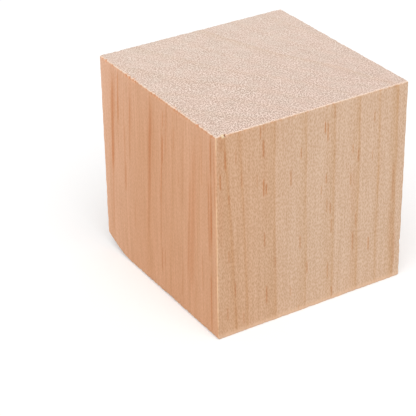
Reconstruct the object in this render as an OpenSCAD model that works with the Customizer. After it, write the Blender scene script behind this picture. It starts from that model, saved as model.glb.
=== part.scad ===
// Wooden cube: one sawn block of bare softwood with eased arrises, a rounder left foot arris
// and one worn corner.
// Millimetres. +Z is up, along the grain, and the origin is the middle of the underside.
// Front is -Y, left is -X and back is +Y.

/* [Block] */
// Side of the cube
side = 50; // [20:0.5:100]
// Radius that the arrises are eased to
arris_r = 0.35; // [0.15:0.05:1.5]
// Radius of the bottom left arris, which is rubbed rounder than the rest
foot_arris_r = 0.8; // [0.15:0.05:1.5]
// Depth rubbed off each of the eight corners, below where the eased arrises leave it
corner_rub = 0.12; // [0.05:0.01:0.8]

/* [Worn corner] */
// How far the wear runs along the two bottom arrises from the back left corner
wear_reach = 15; // [5:0.5:20]
// How far the wear runs up the back left arris
wear_height = 3.6; // [1.5:0.1:5]

/* [Chip in the top front arris] */
// Distance of the chip from the front left corner
chip_in = 2.4; // [2:0.1:10]
// Length of the chip along the arris
chip_length = 0.9; // [0.5:0.1:2]
// Depth of the chip below the eased arris
chip_depth = 0.35; // [0.15:0.05:0.5]

/* [Nick in the front right arris] */
// Height of the nick above the underside
nick_up = 9; // [4:0.5:15]
// Length of the nick along the arris
nick_length = 2; // [1:0.1:4]
// Depth of the nick below the eased arris
nick_depth = 0.2; // [0.1:0.05:0.5]

/* [Hidden] */

wood_tone = [0.84, 0.70, 0.60];
cut_past = 1;      // how far a cutting shape runs past the faces that it cuts
small_fn = 48;     // facets of the eased arrises
ball_fn = 180;     // facets of the large balls
root2 = sqrt(2);
root3 = sqrt(3);
half = side / 2;

// What the easing takes off a sharp arris, and off a sharp corner, each along its diagonal
arris_loss = arris_r * (root2 - 1);
corner_loss = arris_r * (1 - 1 / root2) * root3;

// The ball inside the block that the worn corner is left with. It touches the two bottom
// edge lines at wear_reach and crosses the upright edge line at wear_height.
wear_ball_up = (pow(wear_reach, 2) + pow(wear_height, 2)) / (2 * wear_height);
wear_ball_r = sqrt(pow(wear_reach, 2) + pow(wear_ball_up, 2));

// Radius of the ball whose scoop has this length and depth
function scoop_r(length, depth) = (pow(length / 2, 2) + pow(depth, 2)) / (2 * depth);

// What easing to the radius r takes off the upper right corner of a section
module corner_off(r) {
    translate([half - r, half - r])
        difference() {
            square(r + cut_past);
            circle(r = r, $fn = small_fn);
        }
}

// Section of a bar: a square with eased corners, the lower left one to a radius of its own
module eased_square(low_left_r) {
    difference() {
        square(side, center = true);
        for (turn = [0, 90, 270])
            rotate(turn) corner_off(arris_r);
        rotate(180) corner_off(low_left_r);
    }
}

// A bar of that section, centred, as long as the block is high
module eased_bar(low_left_r = arris_r) {
    linear_extrude(height = side, center = true)
        eased_square(low_left_r);
}

// The sawn block before any damage, centred: three bars eased along the three axes meet in
// it, and a ball just inside the half diagonal rubs its eight corners
module eased_block() {
    intersection() {
        eased_bar();
        rotate([90, 0, 0]) eased_bar(foot_arris_r);
        rotate([0, 90, 0]) eased_bar();
        sphere(r = half * root3 - corner_loss - corner_rub, $fn = ball_fn);
    }
}

// What is worn off the back left corner: the corner outside the wear ball
module worn_away() {
    reach = wear_reach + cut_past;
    difference() {
        translate([-half - cut_past, half - wear_reach, -cut_past])
            cube([reach, reach, wear_height + 2 * cut_past]);
        translate([-half + wear_reach, half - wear_reach, wear_ball_up])
            sphere(r = wear_ball_r, $fn = ball_fn);
    }
}

// A scoop out of an arris: at is a point on the sharp edge line, and out is the unit vector
// that leaves the block there, midway between its two faces
module scoop(at, out, length, depth) {
    ball_r = scoop_r(length, depth);
    translate(at + out * (ball_r - depth - arris_loss))
        sphere(r = ball_r, $fn = small_fn);
}

module chip() {
    scoop([-half + chip_in, -half, side], [0, -1, 1] / root2, chip_length, chip_depth);
}

module nick() {
    scoop([half, -half, nick_up], [1, -1, 0] / root2, nick_length, nick_depth);
}

module block() {
    color(wood_tone)
        difference() {
            translate([0, 0, half]) eased_block();
            worn_away();
            chip();
            nick();
        }
}

block();
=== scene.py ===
"""Wooden cube: one sawn block of bare softwood, standing on a pale floor in soft light.

The block's skin is one closed mesh, worked out with numpy on nested square rings that stand
closest along the arrises, and then eased, torn, worn and chipped by short functions. Its finish
is one procedural softwood: growth rings that run through the whole block, fibres, resin
streaks, sawn end grain, and pale or torn fibres along the sawn arrises. Its colour also holds
painted light: highlights along the arrises, warm reflected light on the left, and shade in
the torn pits and towards the bottom of the sides.
Lengths are in metres unless a name says otherwise. +Z is up, along the grain, the front is -Y
and the left is -X.
"""

import bpy
import numpy as np
from mathutils import Matrix, Vector


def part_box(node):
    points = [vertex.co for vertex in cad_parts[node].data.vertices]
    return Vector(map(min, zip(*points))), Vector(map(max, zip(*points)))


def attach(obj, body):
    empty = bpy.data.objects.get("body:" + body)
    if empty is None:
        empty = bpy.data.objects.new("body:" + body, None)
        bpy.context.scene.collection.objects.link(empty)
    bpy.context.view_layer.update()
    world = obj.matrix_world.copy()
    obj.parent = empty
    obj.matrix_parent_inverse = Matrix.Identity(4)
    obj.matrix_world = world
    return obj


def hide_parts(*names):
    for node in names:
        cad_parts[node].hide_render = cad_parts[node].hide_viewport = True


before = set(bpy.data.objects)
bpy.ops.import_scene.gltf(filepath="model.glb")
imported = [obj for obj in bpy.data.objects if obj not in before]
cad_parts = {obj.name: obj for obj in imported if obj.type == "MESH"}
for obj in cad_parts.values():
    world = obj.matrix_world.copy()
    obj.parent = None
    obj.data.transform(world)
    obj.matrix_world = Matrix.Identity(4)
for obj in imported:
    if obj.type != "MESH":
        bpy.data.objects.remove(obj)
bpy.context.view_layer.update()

MM = 0.001
LOW, HIGH = (np.array(corner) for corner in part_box("block"))
SIDE = float(HIGH[0] - LOW[0])
HALF = SIDE / 2
MIDDLE = (LOW + HIGH) / 2
WELD = 0.0001 * MM  # points closer than this are one point

# -------- sizes of the block's form

ARRIS_RADIUS = 0.35 * MM  # the eased arrises
ARRIS_VARIES = 0.08 * MM  # how much that radius wanders along an arris
ARRIS_WAVE = 3.0 * MM  # and over what length
ARRIS_LEAST = 0.15 * MM
FOOT_ARRIS_RADIUS = 0.8 * MM  # the bottom left arris, rubbed rounder than the rest
CORNER_RUB = 0.12 * MM  # depth rubbed off each corner, below the eased arrises

WEAR_REACH = 15.0 * MM  # the worn corner: its run along the two bottom arrises
WEAR_HEIGHT = 3.6 * MM  # and up the back left arris
WEAR_DENTS = 0.03 * MM  # how deep the worn surface is dented
WEAR_WAVE = 2.5 * MM  # and over what length

CHIP_IN = 2.4 * MM  # the chip in the top front arris: distance from the left corner
CHIP_LENGTH = 0.9 * MM
CHIP_DEPTH = 0.35 * MM
FLAKE_IN = 1.8 * MM  # the flake left standing beside it
FLAKE_LENGTH = 0.8 * MM
FLAKE_SPARED = 0.6  # how much of the easing the flake is spared
FLAKE_ALONG, FLAKE_AWAY = (0.25, 0.6), (0.4, 1.0)  # full within and none beyond, in its lengths

NICK_UP = 9.0 * MM  # the nick in the front right arris: height above the underside
NICK_LENGTH = 2.0 * MM
NICK_DEPTH = 0.2 * MM

TEAR_DEPTH = 0.3 * MM  # saw tear-out along the sawn arrises: how deep it bites
TEAR_SINK = 0.08 * MM  # how much it lowers the arris
TEAR_DROP = 1.0 * MM  # how far along the face it runs
TEAR_PITCH = 1.0 * MM  # mean distance between two bites
TEAR_SPREAD = 7.0 * MM  # and between two stretches with many bites
TEAR_SPARSE = 0.45  # the share of the depth that bites have between those stretches
TEAR_LEFT, TEAR_OTHER = 1.0, 0.35  # the share along the left face, and along the others
TEAR_WHOLE = (0.3, 0.1)  # shares of TEAR_DROP, down a side and in from it, where a bite is whole
BITES_BETWEEN = (-0.4, 0.9)  # wander between which the bites set in
STRETCHES_BETWEEN = (-0.8, 0.6)  # and the stretches with many of them
TORN_BETWEEN = (0.1, 0.6)  # share of a whole bite between which the fibres come to look torn

RING_STEPS = ((320, 8), (160, 3), (80, 2), (40, 1))  # steps along a side, and rings with them
RING_FIRST = 0.07 * MM  # gap between the arris line and the first ring inside it
RING_GROWTH = 1.2  # each gap against the one before it
CROWDING = 0.25  # how much closer the steps stand towards the corners

# -------- where the finish's marks lie

# Full within the first distance from the arris and none beyond the second, in arris radii
SAWN_PALE = (0.3, 1.1)  # pale crushed fibres and a painted highlight on a sawn arris
SAWN_PALE_DOWN = (0.1, 0.8)  # how far they reach down the side
UPRIGHT_HIGHLIGHT_REACH = (0.15, 0.6)  # the painted highlight on an upright arris, with some pale crushed fibres

CRUSHED_AND_LIT_LEAST = 0.65  # how strong the line of crushed fibres and painted highlight is where it is weakest
CRUSHED_AND_LIT_WAVE = 1.3 * MM  # and over what length that changes
CRUSHED_AND_LIT_BETWEEN = (-0.8, 0.5)  # wander between which it does
CRUSHED_AND_LIT_OTHER = 0.8  # how strong that line is on the other sawn arrises against the left ones

FOOT_FULL = 0.32 * MM  # the sides' foot is fully rubbed up to this height
FOOT_NONE_LEFT = 0.8 * MM  # and not at all above this one on the left
FOOT_NONE_OTHER = 1.8 * MM  # or above this one on the other sides

SLIT_FULL, SLIT_NONE = 0.06 * MM, 0.24 * MM  # the chip's dark slit, from its middle
SLIT_DEPTH = 0.4 * CHIP_DEPTH  # a point drawn in this far is fully in the slit's dark
WEAR_HIDES = 0.1 * MM  # wear this deep hides every mark along the arrises

# A face takes over where the normal leans towards it by the first share, and wholly by the second
END_FACING = (0.45, 0.85)
SIDE_FACING = (0.4, 0.8)

# -------- the skin's pattern


def places_along(steps, reach):
    """Places of the steps along a side, from -reach to reach: reach (a (1 + c) - c a^3), where
    a runs evenly from -1 to 1 and c is the crowding."""
    even = np.arange(steps + 1) * 2 / steps - 1
    return reach * (even * (1 + CROWDING) - CROWDING * even ** 3)


def square_ring(steps, reach):
    """Points round a square of that half side, anticlockwise from its lower left corner."""
    place = places_along(steps, reach)[:-1]
    edge = np.full(steps, reach)
    return np.concatenate([np.column_stack(pair) for pair in
                           ((place, -edge), (edge, place), (-place, edge), (-edge, -place))])


def face_pattern():
    """One flat face as points, quads and five-sided polygons: square rings from the arris line
    inwards and an even lattice inside the last one. Where a ring has half as many steps as the
    ring round it, five-sided polygons join the two."""
    points, quads, fives = [], [], []
    inset, gap, first = 0.0, RING_FIRST, 0
    around = None
    for steps, rings in RING_STEPS:
        for _ in range(rings):
            ring = square_ring(steps, HALF - inset)
            here = first + np.arange(len(ring))
            ahead = np.roll(here, -1)
            if around is not None and len(around) == len(here):
                quads.append(np.column_stack([around, np.roll(around, -1), ahead, here]))
            elif around is not None:
                coarse = np.roll(around, -2)[::2]
                fives.append(np.column_stack([around[1::2], coarse, ahead, here, around[::2]]))
            points.append(ring)
            first += len(ring)
            around = here
            inset, gap, last_reach = inset + gap, gap * RING_GROWTH, HALF - inset
    place = places_along(steps, last_reach)
    across, up = np.meshgrid(place, place, indexing="ij")
    points.append(np.column_stack([across.ravel(), up.ravel()]))
    number = first + np.arange(len(place) ** 2).reshape(len(place), -1)
    quads.append(np.column_stack([number[:-1, :-1].ravel(), number[1:, :-1].ravel(),
                                  number[1:, 1:].ravel(), number[:-1, 1:].ravel()]))
    return np.concatenate(points), np.concatenate(quads), np.concatenate(fives)


def cube_skin():
    """The closed skin of a sharp cube centred on the origin. Each face is the pattern, laid in
    the plane across one axis and turned over at that axis's low end, and points that fall in
    one place are welded."""
    flat, quads, fives = face_pattern()
    points, all_quads, all_fives = [], [], []
    for axis in range(3):
        for sign in (1, -1):
            placed = np.empty((len(flat), 3))
            placed[:, axis] = sign * HALF
            placed[:, (axis + 1) % 3] = flat[:, 0]
            placed[:, (axis + 2) % 3] = flat[:, 1]
            first = sum(len(part) for part in points)
            all_quads.append(quads[:, ::sign] + first)
            all_fives.append(fives[:, ::sign] + first)
            points.append(placed)
    points = np.concatenate(points)
    lattice = np.round(points / WELD).astype(np.int64)
    _, kept, number = np.unique(lattice, axis=0, return_index=True, return_inverse=True)
    number = number.ravel()
    return points[kept], [number[np.concatenate(all_quads)], number[np.concatenate(all_fives)]]


# -------- shape functions


def wander(points, wavelength, seed, waves=40):
    """Smooth noise of mean 0 and spread about 0.7: the sum of plane cosine waves in random
    directions over the root of their number. Each wave is 1 / 1.4 to 1 / 0.7 of the given
    wavelength long."""
    random = np.random.default_rng(seed)
    direction = random.normal(size=(waves, 3))
    direction /= np.linalg.norm(direction, axis=1)[:, None]
    stretch = random.uniform(0.7, 1.4, (waves, 1))
    wave = 2 * np.pi * direction * stretch / wavelength
    phase = random.uniform(0, 2 * np.pi, waves)
    return np.cos(points @ wave.T + phase).sum(axis=1) / np.sqrt(waves)


def smooth(value, low, high):
    """0 below low, 1 above high, and 3t^2 - 2t^3 between them."""
    share = np.clip((value - low) / (high - low), 0, 1)
    return share * share * (3 - 2 * share)


def length_of(rows):
    """The length of each row vector, never quite nought."""
    return np.maximum(np.linalg.norm(rows, axis=1), 1e-9)


def ease_foot_arris(points):
    """Rounds the bottom left arris: in the section across it, a point further from the arris's
    axis than the radius is drawn in to the radius."""
    out = np.minimum(points - (FOOT_ARRIS_RADIUS - HALF), 0) * [1, 0, 1]
    within = (out[:, 0] < 0) & (out[:, 2] < 0)
    excess = np.maximum(0, 1 - FOOT_ARRIS_RADIUS / length_of(out)) * within
    return points - out * excess[:, None]


def ease_arrises(points, radius):
    """Rounds the arrises as a ball rolled inside the cube would: a point p that lies further
    than the radius r from q, the nearest point of the cube shrunk by r, is drawn in to
    q + r (p - q) / |p - q|."""
    core = np.clip(points, -(HALF - radius)[:, None], (HALF - radius)[:, None])
    out = points - core
    return core + out * np.minimum(1, radius / length_of(out))[:, None]


def rub_corners(points):
    """Draws every point outside a ball just under the half diagonal back onto the ball."""
    eased_off = ARRIS_RADIUS * (1 - 1 / np.sqrt(2)) * np.sqrt(3)
    ball = HALF * np.sqrt(3) - eased_off - CORNER_RUB
    return points * np.minimum(1, ball / length_of(points))[:, None]


def wear_corner(points):
    """Wears the bottom corner at the back left down to a ball that touches both bottom edge
    lines at WEAR_REACH and crosses the upright one at WEAR_HEIGHT: in the eighth of space
    beyond the ball's centre, a point further out than the radius is drawn back to the ball or,
    by a wander, to a little below it. Gives the points and how far each was drawn."""
    up = (WEAR_REACH ** 2 + WEAR_HEIGHT ** 2) / (2 * WEAR_HEIGHT)
    toward = np.array([-1, 1, -1])
    centre = toward * (HALF - np.array([WEAR_REACH, WEAR_REACH, up]))
    out = points - centre
    far = length_of(out)
    dents = WEAR_DENTS * smooth(wander(points, WEAR_WAVE, seed=8), -1.0, 1.0)
    excess = far - np.hypot(WEAR_REACH, up)
    beyond = (out * toward > 0).all(axis=1) & (excess > 0)
    drawn = np.where(beyond, excess + np.minimum(dents, excess), 0)
    return points - out * (drawn / far)[:, None], drawn


def scoop(points, edge_point, outward, length, depth):
    """Scoops a ball out of an arris. The ball is the one whose cap has this length and depth
    below the eased arris. A point inside it goes straight in, against the outward direction,
    to the ball's far side. Gives the points and how far each went."""
    radius = (length ** 2 / 4 + depth ** 2) / (2 * depth)
    eased_off = ARRIS_RADIUS * (np.sqrt(2) - 1)
    outward = np.array(outward) / np.sqrt(2)
    from_centre = points - np.array(edge_point) - outward * (radius - depth - eased_off)
    along = from_centre @ outward
    aside = np.linalg.norm(from_centre - along[:, None] * outward, axis=1)
    far_side = np.sqrt(np.maximum(radius ** 2 - aside ** 2, 0))
    drawn = np.where(np.abs(along) < far_side, along + far_side, 0)
    return points - drawn[:, None] * outward, drawn


def tear_out(points):
    """How the saw tore each point of the sharp cube: how far it moves, and how torn it is, from
    0 to 1. There are bites where a quick wander is high, and they are deeper where a slow one
    is. A bite is deepest at the sawn arris and fades out TEAR_DROP away from it on both faces."""
    from_end = HALF - np.abs(points[:, 2:])
    from_sides = HALF - np.abs(points[:, :2])
    whole_down, whole_in = TEAR_WHOLE
    fade = 1 - smooth(from_end, whole_down * TEAR_DROP, TEAR_DROP)
    near_sides = 1 - smooth(from_sides, whole_in * TEAR_DROP, TEAR_DROP)
    level = points * [1, 1, 0] + [0, 0, HALF] * np.sign(points[:, 2:])
    stretches = smooth(wander(level, TEAR_SPREAD, seed=11), *STRETCHES_BETWEEN)
    bites = smooth(wander(level, TEAR_PITCH, seed=5), *BITES_BETWEEN)
    bites *= TEAR_SPARSE + (1 - TEAR_SPARSE) * stretches
    left = near_sides[:, 0] * (points[:, 0] < 0)
    bites *= TEAR_OTHER + (TEAR_LEFT - TEAR_OTHER) * left
    share = fade * near_sides * bites[:, None]
    torn = share.max(axis=1)
    inward = -np.sign(points)
    moved = inward * np.column_stack([TEAR_DEPTH * share, TEAR_SINK * torn])
    return moved, smooth(torn, *TORN_BETWEEN)


def flake_share(points):
    """1 on the flake beside the chip, fading to 0 round it."""
    along = np.abs(points[:, 0] + HALF - FLAKE_IN) / FLAKE_LENGTH
    away = np.hypot(points[:, 1] + HALF, points[:, 2] - HALF) / FLAKE_LENGTH
    return (1 - smooth(along, *FLAKE_ALONG)) * (1 - smooth(away, *FLAKE_AWAY))


def near(distance, reach):
    """1 within the first of reach, fading to 0 at the second, both in arris radii."""
    full, none = reach
    return 1 - smooth(distance, full * ARRIS_RADIUS, none * ARRIS_RADIUS)


def block_marks(sharp, torn, flake, worn, chip):
    """The finish's marks at each point of the sharp cube, from 0 to 1, by name. torn and flake
    are marks already. worn and chip are how far those two drew the point."""
    inward = HALF - np.abs(sharp)
    on_left = (sharp[:, 0] < 0) & (inward[:, 0] < inward[:, 1])
    unworn = 1 - smooth(worn, 0, WEAR_HIDES)
    # strength of the pale line of crushed fibres and painted highlight along the sawn arrises
    patches = smooth(wander(sharp, CRUSHED_AND_LIT_WAVE, seed=21), *CRUSHED_AND_LIT_BETWEEN)
    crushed_and_lit = CRUSHED_AND_LIT_LEAST + (1 - CRUSHED_AND_LIT_LEAST) * patches
    crushed_and_lit *= np.where(on_left, 1, CRUSHED_AND_LIT_OTHER)
    from_sawn = np.maximum(inward[:, 2], inward[:, :2].min(axis=1))
    sawn = near(from_sawn, SAWN_PALE) * near(inward[:, 2], SAWN_PALE_DOWN)
    # a painted highlight along the upright arrises
    upright = near(np.maximum(inward[:, 0], inward[:, 1]), UPRIGHT_HIGHLIGHT_REACH)
    foot_top = np.where(on_left, FOOT_NONE_LEFT, FOOT_NONE_OTHER)
    foot = 1 - smooth(sharp[:, 2] + HALF, FOOT_FULL, foot_top)
    slit = 1 - smooth(np.abs(sharp[:, 0] + HALF - CHIP_IN), SLIT_FULL, SLIT_NONE)
    return {"torn": torn, "flake": flake, "arris": sawn * crushed_and_lit * unworn,
            "upright": upright * unworn, "foot": foot * unworn,
            "chip": slit * smooth(chip, 0, SLIT_DEPTH)}


# -------- meshes


def new_object(name, data):
    """A new object at the origin, in the scene."""
    made = bpy.data.objects.new(name, data)
    bpy.context.scene.collection.objects.link(made)
    return made


def mesh_object(name, points, polygon_sets, material):
    """A new object at the origin from whole arrays of points and polygons, shaded smooth. Each
    polygon set has one row per polygon."""
    corners = np.concatenate([rows.ravel() for rows in polygon_sets])
    totals = np.concatenate([np.full(len(rows), rows.shape[1]) for rows in polygon_sets])
    mesh = bpy.data.meshes.new(name)
    mesh.vertices.add(len(points))
    mesh.vertices.foreach_set("co", points.ravel())
    mesh.loops.add(len(corners))
    mesh.loops.foreach_set("vertex_index", corners)
    mesh.polygons.add(len(totals))
    mesh.polygons.foreach_set("loop_start", np.cumsum(totals) - totals)
    mesh.update(calc_edges=True)
    mesh.shade_smooth()
    mesh.materials.append(material)
    return new_object(name, mesh)


def mark_points(mesh, marks):
    """Gives the mesh one point attribute for each of marks, and the shares of every point that
    face an end, the left and the front, from its smooth normal."""
    normals = np.empty(len(mesh.vertices) * 3)
    mesh.vertex_normals.foreach_get("vector", normals)
    facing = normals.reshape(-1, 3)
    marks = {**marks, "end": smooth(np.abs(facing[:, 2]), *END_FACING),
             "left": smooth(-facing[:, 0], *SIDE_FACING),
             "front": smooth(-facing[:, 1], *SIDE_FACING)}
    for name, values in marks.items():
        mesh.attributes.new(name, "FLOAT", "POINT").data.foreach_set("value", values)


def wooden_block(material):
    """The block: the cube's skin, eased along its arrises, torn by the saw along the sawn ones,
    rubbed at its corners, and with its worn corner, chip, flake and nick."""
    sharp, polygon_sets = cube_skin()
    moved, torn = tear_out(sharp)
    flake = flake_share(sharp)
    radius = ARRIS_RADIUS + ARRIS_VARIES * wander(sharp, ARRIS_WAVE, seed=2)
    radius = np.maximum(radius * (1 - FLAKE_SPARED * flake), ARRIS_LEAST)
    points = rub_corners(ease_arrises(ease_foot_arris(sharp), radius) + moved)
    points, worn = wear_corner(points)
    points, chip = scoop(points, (-HALF + CHIP_IN, -HALF, HALF), (0, -1, 1),
                         CHIP_LENGTH, CHIP_DEPTH)
    points, _ = scoop(points, (HALF, -HALF, NICK_UP - HALF), (1, -1, 0),
                      NICK_LENGTH, NICK_DEPTH)
    block = mesh_object("softwood_block", points + MIDDLE, polygon_sets, material)
    mark_points(block.data, block_marks(sharp, torn, flake, worn, chip))
    return block


# -------- wiring materials

NOISE_MOST = (0.3, 0.7)  # most of a noise lies between these
SEED_STEP = np.array([17.3, 5.1, 11.7])  # how far a seed of 1 moves a noise


class Wired:
    """A number or a vector that a node gives. Arithmetic on a number adds Math nodes."""

    def __init__(self, wire, socket):
        self.wire = wire
        self.socket = socket

    def __add__(self, other):
        return self.wire.math("ADD", self, other)

    def __sub__(self, other):
        return self.wire.math("SUBTRACT", self, other)

    def __rsub__(self, other):
        return self.wire.math("SUBTRACT", other, self)

    def __mul__(self, other):
        return self.wire.math("MULTIPLY", self, other)

    def __truediv__(self, other):
        return self.wire.math("DIVIDE", self, other)

    __radd__ = __add__


class Wiring:
    """A node tree being wired. Most calls add nodes, feed their inputs from wired or plain
    values, and give back what comes out, wired."""

    def __init__(self, tree):
        self.tree = tree

    def feed(self, socket, value):
        """Links a wired value to the input, or sets the input to a plain one."""
        if isinstance(value, Wired):
            self.tree.links.new(value.socket, socket)
        else:
            socket.default_value = value

    def add(self, kind, inputs=(), **settings):
        """A new node with those settings, and with its inputs fed in order or by name."""
        made = self.tree.nodes.new(kind)
        for name, value in settings.items():
            setattr(made, name, value)
        for name, value in (inputs.items() if isinstance(inputs, dict) else enumerate(inputs)):
            self.feed(made.inputs[name], value)
        return made

    def get(self, kind, inputs=(), output=0, **settings):
        """One output of such a new node."""
        return Wired(self, self.add(kind, inputs, **settings).outputs[output])

    def outputs(self, made):
        """The outputs of a node by name."""
        return {socket.name: Wired(self, socket) for socket in made.outputs}

    def math(self, operation, *values, **settings):
        return self.get("ShaderNodeMath", values, operation=operation, **settings)

    def vector(self, operation, *values, output=0):
        return self.get("ShaderNodeVectorMath", values, output, operation=operation)

    def combine(self, x, y, z):
        return self.get("ShaderNodeCombineXYZ", (x, y, z))

    def split(self, vector):
        return self.outputs(self.add("ShaderNodeSeparateXYZ", (vector,))).values()

    def clamp(self, value):
        """The value held between 0 and 1."""
        return self.math("ADD", value, 0.0, use_clamp=True)

    def step(self, value, low, high, to_low=0.0, to_high=1.0):
        """A smooth step of value, from to_low at low to to_high at high."""
        return self.get("ShaderNodeMapRange", (value, low, high, to_low, to_high),
                        interpolation_type="SMOOTHSTEP")

    def fade(self, value, low, high):
        """A smooth step down, from 1 at low to 0 at high."""
        return self.step(value, low, high, 1.0, 0.0)

    def ramp(self, value, low, high, to_low=0.0, to_high=1.0):
        """A straight run of value, from to_low at low to to_high at high."""
        return self.get("ShaderNodeMapRange", (value, low, high, to_low, to_high))

    def swing(self, noise, most, between=NOISE_MOST):
        """A noise as a move either way: -most where it is low and most where it is high."""
        return self.ramp(noise, *between, -most, most)

    def bell(self, value, width):
        """exp(-(value / width)^2)."""
        share = value / width
        return self.math("EXPONENT", share * share * -1.0)

    def streak(self, aside, above, half_width, half_length):
        """A bell across a streak, with a smooth fade over the outer halves of its length."""
        share = self.math("ABSOLUTE", above) / half_length
        return self.bell(aside, half_width) * self.fade(share, 0.5, 1.0)

    def cells(self, across, along, randomness=1.0):
        """The outputs of a flat Voronoi pattern whose cells are about one unit wide."""
        place = self.combine(across, along, 0.0)
        inputs = {"Vector": place, "Scale": 1.0, "Randomness": randomness}
        return self.outputs(self.add("ShaderNodeTexVoronoi", inputs, voronoi_dimensions="2D"))

    def noise(self, place, scale, detail=2.0, roughness=0.5, seed=0.0):
        """Noise from 0 to 1 about 0.5, at place times scale, which has one value for each axis.
        The seed moves it to another part of the noise."""
        scaled = self.vector("MULTIPLY", place, scale)
        moved = self.vector("ADD", scaled, SEED_STEP * seed)
        return self.get("ShaderNodeTexNoise", {
            "Vector": moved, "Scale": 1.0, "Detail": detail, "Roughness": roughness})

    def mark(self, name):
        """A point attribute of the mesh."""
        return self.get("ShaderNodeAttribute", output="Fac", attribute_name=name)

    def mix(self, share, one, two, kind="MIX"):
        """Two colours mixed. They are inputs 6 and 7 of a Mix node, and output 2."""
        return self.get("ShaderNodeMix", {0: share, 6: one, 7: two}, 2, data_type="RGBA",
                        blend_type=kind)

    def tint(self, share, colour, white_becomes):
        """A colour multiplied by a tint, as far as share says."""
        return self.mix(share, colour, white_becomes, kind="MULTIPLY")

    def curve(self, value, points):
        """A smooth curve drawn through points, from 0..1 to 0..1."""
        made = self.add("ShaderNodeFloatCurve", {"Value": value})
        drawn = made.mapping.curves[0].points
        for x, y in points[1:-1]:
            drawn.new(x, y)
        drawn[0].location = points[0]
        drawn[len(drawn) - 1].location = points[-1]
        made.mapping.update()
        return Wired(self, made.outputs[0])

    def place_group(self, group, **inputs):
        """The outputs of a group whose inputs are fed by name, where _ stands for a space."""
        made = self.add("ShaderNodeGroup", node_tree=group)
        for name, value in inputs.items():
            self.feed(made.inputs[name.replace("_", " ")], value)
        return self.outputs(made)

    def leave(self, **values):
        """Ends a group with one output for each of the values, by name, and gives the group."""
        for name in values:
            self.tree.interface.new_socket(name, in_out="OUTPUT", socket_type="NodeSocketFloat")
        self.add("NodeGroupOutput", values)
        return self.tree


def new_group(name, *inputs):
    """An empty shader node group: its wiring, and what comes in on its inputs, by name. A * at
    the end of a name, which the input's own name drops, asks for a vector."""
    wire = Wiring(bpy.data.node_groups.new(name, "ShaderNodeTree"))
    for label in inputs:
        kind = "NodeSocketVector" if label.endswith("*") else "NodeSocketFloat"
        wire.tree.interface.new_socket(label.rstrip("*"), in_out="INPUT", socket_type=kind)
    return wire, wire.outputs(wire.add("NodeGroupInput"))


def srgb(red, green, blue):
    """A colour written in screen levels from 0 to 255, as the linear colour that shaders use."""
    level = np.array([red, green, blue]) / 255
    linear = np.where(level <= 0.04045, level / 12.92, ((level + 0.055) / 1.055) ** 2.4)
    return (*linear.tolist(), 1.0)


# -------- the softwood

PALE_WOOD = srgb(222, 187, 158)  # early wood on a side, far from the pith
WARM_WOOD = srgb(217, 173, 138)  # and nearer the pith
LEFT_WOOD_AND_WARM_LIGHT = srgb(235, 180, 142)  # the left side, cut nearly along the rings, at its front, warmer with painted warm reflected light
LEFT_BACK_WOOD_AND_WARM_LIGHT = srgb(247, 195, 162)  # and at its back
END_WOOD = srgb(224, 197, 182)  # sawn end grain, at the front
END_BACK_WOOD = srgb(227, 203, 188)  # and at the back
TORN_AND_SHADED_WOOD = srgb(206, 130, 82)  # fibres torn open by the saw, darker with painted shade in their pits
ARRIS_PALE_AND_HIGHLIGHT = srgb(251, 228, 207)  # pale crushed fibres and a painted highlight on a sawn arris
UPRIGHT_HIGHLIGHT_WOOD = srgb(252, 214, 172)  # a painted highlight, with some pale crushed fibres, on an upright arris
LEFT_FOOT_WOOD = srgb(234, 180, 134)  # the rubbed foot of the left side
FOOT_WOOD = srgb(237, 200, 168)  # and of the others
FLAKE_WOOD = srgb(250, 224, 186)
CHIP_WOOD = srgb(120, 72, 36)  # dirt and shade in the chip

# What white would turn to in each mark of the grain, at its full strength
LATE_TINT = srgb(248, 242, 232)  # late wood
LINE_TINT = srgb(245, 229, 207)  # the fine dark line that ends a ring
RESIN_TINT = srgb(236, 199, 162)  # short resin streaks
LOWER_SHADE_TINT = srgb(250, 250, 249)  # the lower part of the sides, a little darker: painted shade
LEFT_LOWER_TINT = srgb(252, 250, 246)  # the left side below its top, a little browner
GREY_TINT = srgb(252, 255, 255)  # greyer patches of the end grain

SIDE_MM = SIDE / MM

# Where the colours turn into each other. Ring places are in sides of the block.
WARM_UNTIL, PALE_FROM = 0.05, 0.5  # ring places, on the sides
LEFT_FRONT_UNTIL, LEFT_BACK_FROM = 0.5, 0.63  # ring places, on the left
HIDDEN_WARMTH = 0.35  # how far the back and the right go towards the left's wood and its painted warm light
LOWER_SHADE_FADES = (0.05 * SIDE_MM, 0.85 * SIDE_MM)  # heights over which the painted shade of the lower part ends
LEFT_LOWER_FADES = (0.7 * SIDE_MM, SIDE_MM)  # and the browner lower part of the left side
LEFT_GRAIN = 0.5  # strength of the rings on the left, against the front
END_GRAIN = 0.35  # and on the ends
GREY_BETWEEN = (0.40, 0.62)  # noise between which the end grain turns greyer

TORN_SHARE, FOOT_SHARE = 0.6, 0.7  # the most that each mark covers of the wood under it
ARRIS_SHARES = (0.75, 0.62)  # elsewhere, and on the front
ARRIS_FACING = (0.1, 0.5)  # share that faces the front between which it goes over
UPRIGHT_SHARES = (0.05, 0.95)  # where the painted highlight line is broken, and where it is whole
BREAKS = (0.4, 0.62)  # noise between which it goes from broken to whole

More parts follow.
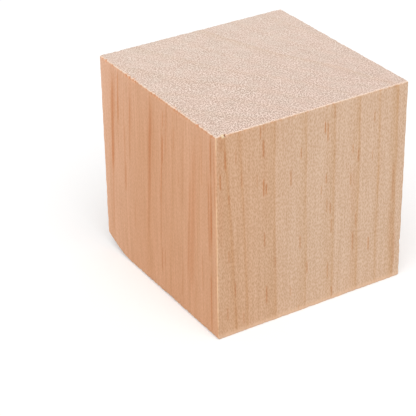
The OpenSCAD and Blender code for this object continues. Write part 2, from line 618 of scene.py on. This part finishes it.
# How many swings each noise has to the millimetre, along x, y and z
LINE_NOISE = (0.5, 0.5, 0.12)  # faint and strong stretches of a ring's line
THREAD_NOISE = (4.5, 4.5, 0.12)  # the finest fibres
FIBRE_NOISE = (1.5, 1.5, 0.03)  # coarser ones, longer
BAND_NOISE = (0.45, 0.45, 0.02)  # broad bands along the grain
PATCH_NOISE = (0.22, 0.22, 0.07)  # broad patches
DENT_NOISE = (2.2, 2.2, 1.1)  # shallow dents
GREYNESS_NOISE = (0.25, 0.25, 0.03)  # greyer patches of the end grain
UPRIGHT_NOISE = (0.02, 0.02, 0.16)  # breaks in the pale line on an upright arris
SLOW_NOISE = (0.10, 0.10, 0.05)  # the rings' slow wander
FLECK_NOISE = (0.3, 0.3, 0.05)  # patches of the end grain with stronger pores
STRIAE_NOISE = (0.12, 0.12, 0.02)  # striae of the end grain
STRIAE_FINER = 6.0  # and how many times finer they lie across, where they follow the rings

# How much lighter or darker each makes the wood
THREAD_TONE, FIBRE_TONE, BAND_TONE, PATCH_TONE = 0.05, 0.03, 0.015, 0.01
BAND_BETWEEN = (0.25, 0.75)  # noise between which the bands go from dark to light
STRIAE_TONE, SAW_TONE = 0.02, 0.04
FIBROUS_FADES = (0.15, 0.35)  # ring places between which the fibres grow fainter
FIBROUS_SHARES = (0.7, 0.2)  # and their strength on either side
SIDE_GREEN, SIDE_BLUE = 1.6, 2.3  # powers of that tone, so that darker wood is also warmer
END_GREEN, END_BLUE = 1.3, 1.5

DENT_RISE, THREAD_RISE = 0.06, 0.012  # relief of the surface, in mm
ROUGH_LEAST, ROUGH_MOST = 0.66, 0.80
LINE_GLOSS = 0.08  # how much less rough the ring lines are
SPECULAR = 0.3

# The growth rings along the top front arris: where each ends, in sides of the block from its
# left end, the stretch before that over which it darkens, and how strong its late wood and its
# line are. The last ones meet only the arris line carried on past the block's right side.
RINGS = (
    (0.045, 0.035, 0.9, 0.65), (0.115, 0.03, 0.6, 0.55), (0.292, 0.12, 0.8, 0.45),
    (0.455, 0.065, 0.9, 0.35), (0.602, 0.08, 0.9, 0.4), (0.739, 0.055, 1.0, 0.45),
    (0.847, 0.03, 0.7, 0.65), (0.945, 0.05, 1.7, 0.6), (1.05, 0.03, 0.7, 0.65),
    (1.147, 0.04, 0.8, 0.6), (1.245, 0.03, 0.7, 0.6))
LATE_POWER = 1.5  # how late in its stretch the late wood darkens most
LATE_DROPS = (-0.004, 0.001)  # and where it drops, in sides before the ring's end
RING_LINE_WIDTH = 0.0065  # half width of a line, in sides
LINE_STRENGTHS = (0.35, 1.15)  # in the faint and in the strong stretches of a line
LINE_STRETCHES = (0.3, 0.65)  # noise between which a line goes from faint to strong

# How far along that arris line the rings move from the front left arris to the back, at the
# left face: pairs of a share of the side and that distance in sides, on a smooth curve
RING_SWEEP = ((0.0, 0.0), (0.043, 0.045), (0.12, 0.115), (0.34, 0.292), (0.54, 0.455),
              (0.89, 0.600), (1.0, 0.630))
SWEEP_EASES = 0.67  # how much less they move at the right face

# How far the grain leans on its way down the block, in sides: to the right, more so near the
# front left arris, and to the back, except near that arris
LEAN_RIGHT, LEAN_RIGHT_MORE, LEAN_BACK = 0.012, 0.045, 0.065
LEAN_RISES, LEAN_FALLS = (0.0, 0.06), (0.08, 0.3)  # shares across where it leans more so
LEAN_BACK_RISES = (0.04, 0.16)  # shares back over which it starts to lean back
RING_WANDER = 0.016  # how far the rings wander from all this

# Resin streaks on the front, and a few broad faint patches: place across from the left, top and
# bottom, measured down from the top, all in shares of the side, strength, and half width in mm
FRONT_STREAKS = (
    (0.045, 0.06, 0.18, 1.1, 0.13), (0.02, 0.17, 0.26, 1.0, 0.14), (0.062, 0.28, 0.34, 0.6, 0.16),
    (0.024, -0.05, 0.09, 0.3, 0.8), (0.018, 0.02, 0.6, 0.22, 0.95), (0.098, 0.08, 0.16, 0.4, 0.16),
    (0.715, 0.32, 0.62, 0.18, 0.8), (0.724, 0.6, 1.02, 0.15, 0.6), (0.125, 0.19, 0.28, 0.4, 0.16),
    (0.221, 0.0, 0.075, 0.8, 0.18), (0.236, 0.065, 0.17, 0.75, 0.22),
    (0.245, -0.02, 0.55, 0.12, 0.9), (0.238, -0.02, 0.035, 0.75, 0.16),
    (0.238, 0.25, 0.36, 1.0, 0.18), (0.251, 0.28, 0.35, 0.9, 0.16), (0.205, 0.22, 0.3, 0.4, 0.16),
    (0.43, 0.16, 0.23, 0.7, 0.18), (0.378, 0.25, 0.35, 0.7, 0.2), (0.554, 0.07, 0.14, 1.1, 0.16),
    (0.569, 0.07, 0.19, 0.9, 0.18), (0.604, 0.01, 0.08, 0.4, 0.16), (0.566, 0.33, 0.39, 0.8, 0.16),
    (0.541, 0.38, 0.44, 0.5, 0.16), (0.7, 0.36, 0.44, 0.6, 0.16), (0.707, 0.22, 0.28, 0.6, 0.18),
    (0.737, 0.25, 0.33, 0.7, 0.18), (0.82, 0.09, 0.16, 0.6, 0.16), (0.816, 0.28, 0.34, 0.5, 0.16),
    (0.573, 0.45, 0.54, 0.5, 0.18), (0.592, 0.48, 0.55, 0.7, 0.18), (0.735, 0.57, 0.66, 0.6, 0.18),
    (0.722, 0.66, 0.79, 0.55, 0.2), (0.812, 0.72, 0.81, 0.9, 0.16), (0.6, 0.56, 0.65, 0.6, 0.16),
    (0.586, 0.78, 0.89, 0.6, 0.16), (0.612, 0.92, 1.0, 0.7, 0.16), (0.43, 0.96, 1.0, 0.6, 0.16),
    (0.94, 0.36, 0.62, 0.4, 0.42), (0.938, 0.6, 0.88, 0.25, 0.5), (0.962, 0.72, 0.95, 0.5, 0.22),
    (0.06, 0.55, 0.63, 0.6, 0.16), (0.244, 0.52, 0.61, 0.8, 0.16), (0.092, 0.72, 0.81, 0.7, 0.16),
    (0.3, 0.66, 0.72, 0.5, 0.16), (0.432, 0.59, 0.68, 0.7, 0.16), (0.256, 0.79, 0.91, 0.9, 0.18),
    (0.385, 0.85, 0.91, 0.5, 0.16), (0.472, 0.74, 0.82, 0.7, 0.16), (0.135, 0.89, 0.97, 0.5, 0.16),
    (0.052, 0.84, 0.92, 0.6, 0.16))

# The same on the left side, measured from the back
LEFT_STREAKS = (
    (0.122, 0.0, 0.6, 0.8, 0.5), (0.112, 0.06, 0.6, 0.55, 0.16), (0.138, -0.02, 0.3, 0.4, 0.22),
    (0.172, -0.02, 0.3, 0.8, 0.26), (0.17, 0.1, 0.45, 0.4, 0.2), (0.225, 0.05, 0.4, 0.25, 0.2),
    (0.285, -0.03, 0.32, 0.22, 0.65), (0.465, -0.05, 1.05, 0.1, 9.0),
    (0.46, -0.03, 0.38, 0.18, 0.5), (0.28, 0.06, 0.48, 0.55, 0.22), (0.234, 0.22, 0.66, 0.65, 0.18),
    (0.243, 0.44, 0.63, 0.8, 0.16), (0.12, 0.4, 0.95, 0.4, 0.35), (0.455, 0.05, 0.85, 0.3, 0.6),
    (0.465, 0.0, 0.6, 0.6, 0.2), (0.476, 0.03, 0.25, 0.4, 0.14), (0.49, 0.02, 0.45, 0.3, 0.16),
    (0.566, 0.0, 0.9, 0.4, 0.25), (0.574, 0.04, 0.14, 0.8, 0.15), (0.571, 0.16, 0.34, 0.9, 0.2),
    (0.562, 0.3, 0.55, 0.5, 0.18), (0.6, -0.02, 0.3, 0.35, 0.32), (0.667, 0.07, 0.23, 0.5, 0.16),
    (0.712, 0.28, 0.37, 0.4, 0.15), (0.745, 0.0, 0.5, 0.25, 0.25), (0.835, 0.0, 0.95, 0.35, 1.0),
    (0.885, 0.04, 0.3, 0.4, 0.2), (0.957, 0.0, 0.22, 0.8, 0.28), (0.957, 0.18, 0.56, 0.9, 0.24),
    (0.937, 0.16, 0.66, 0.7, 0.22), (0.985, 0.0, 0.4, 0.6, 0.16), (0.58, 0.74, 0.9, 0.7, 0.18),
    (0.604, 0.75, 0.86, 0.5, 0.18), (0.95, 0.64, 1.0, 0.8, 0.22), (0.33, 0.6, 0.8, 0.35, 0.18),
    (0.76, 0.72, 0.94, 0.5, 0.18), (0.88, 0.6, 0.82, 0.5, 0.16), (0.805, 0.22, 0.85, 0.45, 0.3),
    (0.83, 0.2, 0.95, 0.1, 1.6), (0.952, 0.34, 0.62, 0.35, 0.35))
LEFT_LEAN_ENDS = 0.86  # nearer the front than this the streaks stand upright
STREAK_WIDTH_MM = 0.16  # half width of the scattered dashes
DASH_CELL = (3.4, 7.5)  # there is one in each cell of this size in mm
DASH_RANDOMNESS = 0.9  # how freely each lies in its cell
DASH_HALF_LENGTHS = (0.8, 4.0)  # in mm
DASH_UNSEEN = 0.4  # the share of them that has no strength at all
DASH_STRENGTHS = (0.0, 0.9)  # strength of the others

END_GRAINS_PER_MM = (2.6, 2.2)  # open pores of the end grain, along x and y
SIDE_GRAINS_PER_MM = (4.2, 1.2)  # fine grains of the sides, across and along the fibres
END_FLECKS, FRONT_FLECKS, SIDE_FLECKS = 0.31, 0.105, 0.055  # their strengths
GRAIN_REACH = (0.06, 0.54)  # two distances, in cells, from a grain's dark point
GRAIN_TONES = (-1.4, 0.6)  # and how light the wood is at these, where 0 is as it was
FLECKS_WEAKEN = (0.1 * SIDE_MM, 1.3 * SIDE_MM)  # how far from the front left corner pores weaken
FAR_FLECKS = 0.55  # the share of their strength that is left there
FLECKS_VARY = (0.7, 1.3)  # how much weaker and stronger they are in patches
SAW_TURN = (0.83, 0.56)  # unit vector that lies square to the saw marks
SAW_MARKS_PER_MM = (1.3, 0.22)  # saw marks of the end grain, across and along them


def growth_ring_place():
    """Group: where a point's growth ring meets the top front arris line, in sides of the block
    from its left end. The point is first carried up along the leaning grain to the top. Then
    the place is its share across, plus the rings' sweep at its share back, which eases off
    towards the right, plus a slow wander."""
    wire, enters = new_group("growth_ring_place", "Place*")
    x, y, z = wire.split(enters["Place"])
    depth = 1.0 - z / SIDE_MM
    across = x / SIDE_MM + 0.5
    back = y / SIDE_MM + 0.5
    more = wire.step(across, *LEAN_RISES) * wire.fade(across, *LEAN_FALLS)
    across -= (more * LEAN_RIGHT_MORE + LEAN_RIGHT) * depth
    back -= wire.step(back, *LEAN_BACK_RISES, 0.0, LEAN_BACK) * depth
    sweep = wire.curve(wire.clamp(back), RING_SWEEP)
    slow = wire.noise(enters["Place"], SLOW_NOISE, detail=1.0, seed=4) - 0.5
    ring = across + sweep * (1.0 - across * SWEEP_EASES) + slow * RING_WANDER
    return wire.leave(Ring=ring)


def ring_edge():
    """Group: the late wood and the fine line of one growth ring. The late wood rises over a
    stretch before the ring's end and drops at once past it."""
    wire, enters = new_group("ring_edge", "Ring", "End", "Darkens over")
    ahead = enters["End"] - enters["Ring"]
    rise = wire.math("POWER", wire.ramp(ahead, enters["Darkens over"], 0.0), LATE_POWER)
    return wire.leave(Late=rise * wire.step(ahead, *LATE_DROPS),
                      Line=wire.bell(ahead, RING_LINE_WIDTH))


def grain_mark():
    """Group: one streak along the leaning grain. Places and sizes are in mm."""
    wire, enters = new_group("grain_mark", "Across", "Up", "Place", "Middle", "Half length",
                             "Half width", "Lean")
    above = enters["Up"] - enters["Middle"]
    aside = enters["Across"] - (enters["Place"] + enters["Lean"] * above)
    return wire.leave(Mark=wire.streak(aside, above, enters["Half width"], enters["Half length"]))


def resin_dashes():
    """Group: scattered resin streaks for a side that has none listed. Each cell of a
    Voronoi pattern, long along the grain, holds a dash at its point, and about half of the
    dashes are too faint to see."""
    wire, enters = new_group("resin_dashes", "Across", "Up")
    cell_across, cell_up = DASH_CELL
    across = enters["Across"] / cell_across
    up = enters["Up"] / cell_up
    cells = wire.cells(across, up, DASH_RANDOMNESS)
    point_across, point_up, _ = wire.split(cells["Position"])
    red, green, _ = wire.split(cells["Color"])
    half_length = wire.ramp(green, 0.0, 1.0, *DASH_HALF_LENGTHS)
    dash = wire.streak((across - point_across) * cell_across, (up - point_up) * cell_up,
                       STREAK_WIDTH_MM, half_length)
    return wire.leave(Dashes=dash * wire.ramp(red, DASH_UNSEEN, 1.0, *DASH_STRENGTHS))


def fleck_grains():
    """Group: fine grains, about nought, dark at the points of a flat Voronoi pattern and light
    between them. The pattern lies across x and y on the ends and across x + y and z on the
    sides. The grains are strongest on the ends, most of all near the front left corner, and a
    little stronger on the front than on the other sides."""
    wire, enters = new_group("fleck_grains", "Place*", "End", "Front")
    x, y, z = wire.split(enters["Place"])

    def grains(across, along, per_mm):
        distance = wire.cells(across * per_mm[0], along * per_mm[1])["Distance"]
        return wire.ramp(distance, *GRAIN_REACH, *GRAIN_TONES)

    corner = (-SIDE_MM / 2, -SIDE_MM / 2, SIDE_MM)
    far = wire.vector("DISTANCE", enters["Place"], corner, output="Value")
    on_ends = wire.step(far, *FLECKS_WEAKEN, END_FLECKS, FAR_FLECKS * END_FLECKS)
    uneven = wire.noise(enters["Place"], FLECK_NOISE, seed=9)
    on_ends = on_ends * wire.ramp(uneven, *NOISE_MOST, *FLECKS_VARY) * enters["End"]
    on_sides = wire.step(enters["Front"], 0.0, 1.0, SIDE_FLECKS, FRONT_FLECKS)
    on_sides *= 1.0 - enters["End"]
    flecks = on_ends * grains(x, y, END_GRAINS_PER_MM)
    return wire.leave(Flecks=flecks + on_sides * grains(x + y, z, SIDE_GRAINS_PER_MM))


def all_rings(wire, place):
    """The late wood and the fine lines of all the rings, and the ring place they come from."""
    ring = wire.place_group(growth_ring_place(), Place=place)["Ring"]
    one_edge = ring_edge()
    late, line = 0.0, 0.0
    for end, over, late_strength, line_strength in RINGS:
        edge = wire.place_group(one_edge, Ring=ring, End=end, Darkens_over=over)
        late += edge["Late"] * late_strength
        line += edge["Line"] * line_strength
    return ring, late, line


def placed_streaks(wire, mark, across, up, streaks):
    """The marks of streaks at listed places, each (place, top, bottom, strength, half
    width, lean) with the place in mm and the top and bottom in shares of the side from the
    top."""
    marks = 0.0
    for place, top, bottom, strength, half_width, lean in streaks:
        streak = wire.place_group(mark, Across=across, Up=up, Place=place, Lean=lean,
                                  Middle=SIDE_MM * (1 - (top + bottom) / 2),
                                  Half_length=SIDE_MM * (bottom - top) / 2,
                                  Half_width=half_width)
        marks += streak["Mark"] * strength
    return marks


def resin_marks(wire, place, front, left):
    """Resin streaks on every side: listed on the front and the left, scattered elsewhere. The
    place of a left streak is where it would be at the top, so it is carried back as far as the
    grain leans down to the streak's middle."""
    x, y, z = wire.split(place)
    mark = grain_mark()
    on_front = placed_streaks(wire, mark, x, z, [
        (SIDE_MM * (across - 0.5), top, bottom, strength, half_width, -LEAN_RIGHT)
        for across, top, bottom, strength, half_width in FRONT_STREAKS])
    left_streaks = []
    for across, top, bottom, strength, half_width in LEFT_STREAKS:
        lean = LEAN_BACK if across < LEFT_LEAN_ENDS else 0
        middle = SIDE_MM * (0.5 - across + (top + bottom) / 2 * lean)
        left_streaks.append((middle, top, bottom, strength, half_width, -lean))
    on_left = placed_streaks(wire, mark, y, z, left_streaks)
    scattered = wire.place_group(resin_dashes(), Across=x + y, Up=z)["Dashes"]
    return on_front * front + on_left * left + scattered * wire.clamp(1.0 - (front + left))


def side_wood(wire, place, ring, late, line, front, left):
    """The colour of the sides before the finest grain: warmer near the pith, warmer on the left
    partly from painted warm reflected light, marked by the rings and by resin, and darker below
    with painted shade."""
    side = wire.mix(wire.fade(ring, WARM_UNTIL, PALE_FROM), PALE_WOOD, WARM_WOOD)
    left_back = wire.step(ring, LEFT_FRONT_UNTIL, LEFT_BACK_FROM)
    left_wood_and_warm_light = wire.mix(left_back, LEFT_WOOD_AND_WARM_LIGHT, LEFT_BACK_WOOD_AND_WARM_LIGHT)
    hidden = wire.step(front, 0.0, 1.0, HIDDEN_WARMTH, 0.0)
    # painted warm reflected light on the left side, and partly on the back and the right
    side = wire.mix(wire.math("MAXIMUM", left, hidden), side, left_wood_and_warm_light)
    side = wire.tint(late, side, LATE_TINT)
    side = wire.tint(line, side, LINE_TINT)
    side = wire.tint(resin_marks(wire, place, front, left), side, RESIN_TINT)
    _, _, height = wire.split(place)
    # painted shade: the sides darken towards the bottom
    side = wire.tint(wire.fade(height, *LOWER_SHADE_FADES), side, LOWER_SHADE_TINT)
    return wire.tint(wire.fade(height, *LEFT_LOWER_FADES) * left, side, LEFT_LOWER_TINT)


def end_wood(wire, place, late):
    """The colour of the ends before the finest grain: lighter to the back, greyer in patches
    and faintly marked by the rings."""
    _, y, _ = wire.split(place)
    ends = wire.mix(wire.ramp(y, -SIDE_MM / 2, SIDE_MM / 2), END_WOOD, END_BACK_WOOD)
    greyness = wire.noise(place, GREYNESS_NOISE, seed=8)
    ends = wire.tint(wire.step(greyness, *GREY_BETWEEN), ends, GREY_TINT)
    return wire.tint(late * END_GRAIN, ends, LATE_TINT)


def side_tone(wire, place, threads, ring, left):
    """How much lighter than the sides' colour the fibres, bands and patches make each place."""
    fibres = wire.noise(place, FIBRE_NOISE, detail=1.0, seed=12)
    bands = wire.noise(place, BAND_NOISE, detail=1.0, seed=2)
    patches = wire.noise(place, PATCH_NOISE, seed=6)
    fibrous = wire.step(ring, *FIBROUS_FADES, *FIBROUS_SHARES)
    fibrous = wire.math("MAXIMUM", left, fibrous)
    return (wire.swing(threads, THREAD_TONE) + wire.swing(fibres, FIBRE_TONE) * fibrous
            + wire.swing(bands, BAND_TONE, BAND_BETWEEN)
            + wire.swing(patches, PATCH_TONE))


def end_tone(wire, place, ring):
    """How much lighter than the ends' colour the striae along the rings and the saw's marks,
    lines at a fixed slant, make each place."""
    along = wire.vector("MULTIPLY", place, STRIAE_NOISE)
    along = wire.vector("ADD", along, wire.combine(ring, 0.0, 0.0))
    striae = wire.noise(along, (STRIAE_FINER, 1.0, 1.0), seed=4)
    x, y, _ = wire.split(place)
    cosine, sine = SAW_TURN
    turned = wire.combine(x * cosine + y * sine, y * cosine - x * sine, 0.0)
    saw = wire.noise(turned, (*SAW_MARKS_PER_MM, 1.0), detail=1.0, seed=13)
    return wire.swing(striae, STRIAE_TONE) + wire.swing(saw, SAW_TONE)


def marked_wood(wire, place, wood, end, front, left):
    """The wood with what the saw and wear did to it, with painted highlights along the arrises and
    painted shade in the torn pits and the chip, by the block's marks.
    """
    # torn fibres, darker with painted shade in their pits
    wood = wire.mix(wire.mark("torn") * TORN_SHARE, wood, TORN_AND_SHADED_WOOD)
    foot_wood = wire.mix(left, FOOT_WOOD, LEFT_FOOT_WOOD)
    wood = wire.mix(wire.mark("foot") * (1.0 - end) * FOOT_SHARE, wood, foot_wood)
    # painted highlight on the upright arrises, broken in places
    breaks = wire.noise(place, UPRIGHT_NOISE, detail=1.0, seed=10)
    upright = wire.mark("upright") * wire.ramp(breaks, *BREAKS, *UPRIGHT_SHARES)
    wood = wire.mix(upright, wood, UPRIGHT_HIGHLIGHT_WOOD)
    # painted highlight, with pale crushed fibres, along the sawn arrises
    arris = wire.mark("arris") * wire.step(front, *ARRIS_FACING, *ARRIS_SHARES)
    wood = wire.mix(arris, wood, ARRIS_PALE_AND_HIGHLIGHT)
    wood = wire.mix(wire.mark("flake"), wood, FLAKE_WOOD)
    return wire.mix(wire.mark("chip"), wood, CHIP_WOOD)


def softwood():
    """The block's one material. Its wiring works in millimetres, in the block's own frame."""
    material = bpy.data.materials.new("softwood")
    material.use_nodes = True
    material.node_tree.nodes.clear()
    wire = Wiring(material.node_tree)
    place = wire.get("ShaderNodeTexCoord", output="Object")
    place = wire.vector("MULTIPLY", place, (1 / MM,) * 3)
    end, left, front = wire.mark("end"), wire.mark("left"), wire.mark("front")

    ring, late, line = all_rings(wire, place)
    fainter = wire.step(left, 0.0, 1.0, 1.0, LEFT_GRAIN)
    late *= fainter
    uneven = wire.noise(place, LINE_NOISE, seed=7)
    line = line * wire.ramp(uneven, *LINE_STRETCHES, *LINE_STRENGTHS) * fainter
    sides = side_wood(wire, place, ring, late, line, front, left)
    wood = wire.mix(end, sides, end_wood(wire, place, late))

    threads = wire.noise(place, THREAD_NOISE, roughness=0.6, seed=1)
    tone = side_tone(wire, place, threads, ring, left) * (1.0 - end)
    tone += end_tone(wire, place, ring) * end
    flecks = wire.place_group(fleck_grains(), Place=place, End=end, Front=front)["Flecks"]
    tone += flecks + 1.0
    green = wire.math("POWER", tone, wire.step(end, 0.0, 1.0, SIDE_GREEN, END_GREEN))
    blue = wire.math("POWER", tone, wire.step(end, 0.0, 1.0, SIDE_BLUE, END_BLUE))
    wood = wire.tint(1.0, wood, wire.combine(tone, green, blue))
    wood = marked_wood(wire, place, wood, end, front, left)

    dents = wire.noise(place, DENT_NOISE, detail=1.0, seed=3)
    relief = threads * THREAD_RISE + dents * DENT_RISE
    bump = wire.get("ShaderNodeBump", {"Height": relief, "Distance": MM, "Strength": 1.0})
    rough = wire.ramp(dents, *NOISE_MOST, ROUGH_LEAST, ROUGH_MOST) - line * LINE_GLOSS
    shader = wire.get("ShaderNodeBsdfPrincipled", {
        "Base Color": wood, "Roughness": rough, "Normal": bump, "Specular IOR Level": SPECULAR})
    wire.add("ShaderNodeOutputMaterial", {"Surface": shader})
    return material


# -------- floor, light and camera

FLOOR_SIZE = 6.0
FLOOR_DROP = 0.02 * MM  # how far below the block it lies
FLOOR_TONE = 0.80
FLOOR_ROUGHNESS = 0.9
FLOOR_LIFT = 0.25  # glow that the camera and reflections see, so a lit floor is white
SKY = 0.45  # brightness of the white room
KEY_STRENGTH = 2.0  # the soft main lamp
KEY_TURN = -28.0  # degrees from -Y towards +X
KEY_HEIGHT = 60.0  # degrees above the horizon
KEY_SPREAD = 60.0  # degrees

CAMERA_TURN = -31.3705  # degrees from -Y towards +X
CAMERA_HEIGHT = 29.4893  # degrees above the horizon
CAMERA_ROLL = -0.9324  # degrees
CAMERA_FAR = 7.2078  # how far back it stands from the block's middle, in sides
CAMERA_ASIDE = -0.19889  # and how far to the right
CAMERA_ABOVE = -0.19250  # and above
CAMERA_LENS_MM, CAMERA_SENSOR_MM = 134.69, 36.0
CAMERA_NEAR = 0.01  # nothing closer than this is seen


def direction(turn, height):
    """The unit vector at that turn from -Y towards +X and that height, in degrees."""
    turn, height = np.radians((turn, height))
    return Vector((np.sin(turn) * np.cos(height), -np.cos(turn) * np.cos(height), np.sin(height)))


def seen_white(wire, dark, bright):
    """A strength that is bright to the camera, to reflections and through glass, and dark to
    everything that the light falls on."""
    rays = wire.outputs(wire.add("ShaderNodeLightPath"))
    seen = rays["Is Camera Ray"] + rays["Is Glossy Ray"] + rays["Is Transmission Ray"]
    return wire.clamp(seen) * (bright - dark) + dark


def pale_floor():
    """A wide white floor that keeps the block's shadow."""
    material = bpy.data.materials.new("pale_floor")
    material.use_nodes = True
    wire = Wiring(material.node_tree)
    finish = {"Base Color": (FLOOR_TONE, FLOOR_TONE, FLOOR_TONE, 1), "Roughness": FLOOR_ROUGHNESS,
              "Specular IOR Level": 0.0, "Emission Color": (1, 1, 1, 1),
              "Emission Strength": seen_white(wire, 0.0, FLOOR_LIFT)}
    for name, value in finish.items():
        wire.feed(material.node_tree.nodes["Principled BSDF"].inputs[name], value)
    reach = FLOOR_SIZE / 2
    corners = np.array([(-reach, -reach), (reach, -reach), (reach, reach), (-reach, reach)])
    points = np.column_stack([corners, np.full(4, LOW[2] - FLOOR_DROP)])
    mesh_object("pale_floor", points, [np.array([[0, 1, 2, 3]])], material)


def soft_light():
    """A white room and one broad soft lamp."""
    world = bpy.data.worlds.new("white_room")
    bpy.context.scene.world = world
    world.use_nodes = True
    wire = Wiring(world.node_tree)
    background = world.node_tree.nodes["Background"].inputs
    wire.feed(background["Color"], (1, 1, 1, 1))
    wire.feed(background["Strength"], seen_white(wire, SKY, 1.0))
    lamp = bpy.data.lights.new("soft_key", "SUN")
    lamp.energy = KEY_STRENGTH
    lamp.angle = np.radians(KEY_SPREAD)
    key = new_object("soft_key", lamp)
    key.rotation_euler = direction(KEY_TURN, KEY_HEIGHT).to_track_quat("Z", "Y").to_euler()


def camera():
    """The camera, looking back along the direction that its turn and height give."""
    back = direction(CAMERA_TURN, CAMERA_HEIGHT)
    level = (-back).cross(Vector((0, 0, 1))).normalized()
    upright = level.cross(-back)
    roll = np.radians(CAMERA_ROLL)
    right = level * np.cos(roll) + upright * np.sin(roll)
    up = upright * np.cos(roll) - level * np.sin(roll)
    place = Vector(MIDDLE) + SIDE * (CAMERA_FAR * back + CAMERA_ASIDE * right + CAMERA_ABOVE * up)
    lens = bpy.data.cameras.new("camera")
    lens.sensor_width = CAMERA_SENSOR_MM
    lens.lens = CAMERA_LENS_MM
    lens.clip_start = CAMERA_NEAR
    holder = new_object("camera", lens)
    turned = Matrix((right, up, back)).transposed().to_4x4()
    holder.matrix_world = Matrix.Translation(place) @ turned
    bpy.context.scene.camera = holder


bpy.context.scene.view_settings.view_transform = "Standard"
camera()
soft_light()
pale_floor()

block = wooden_block(softwood())
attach(block, "root")
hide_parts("block")
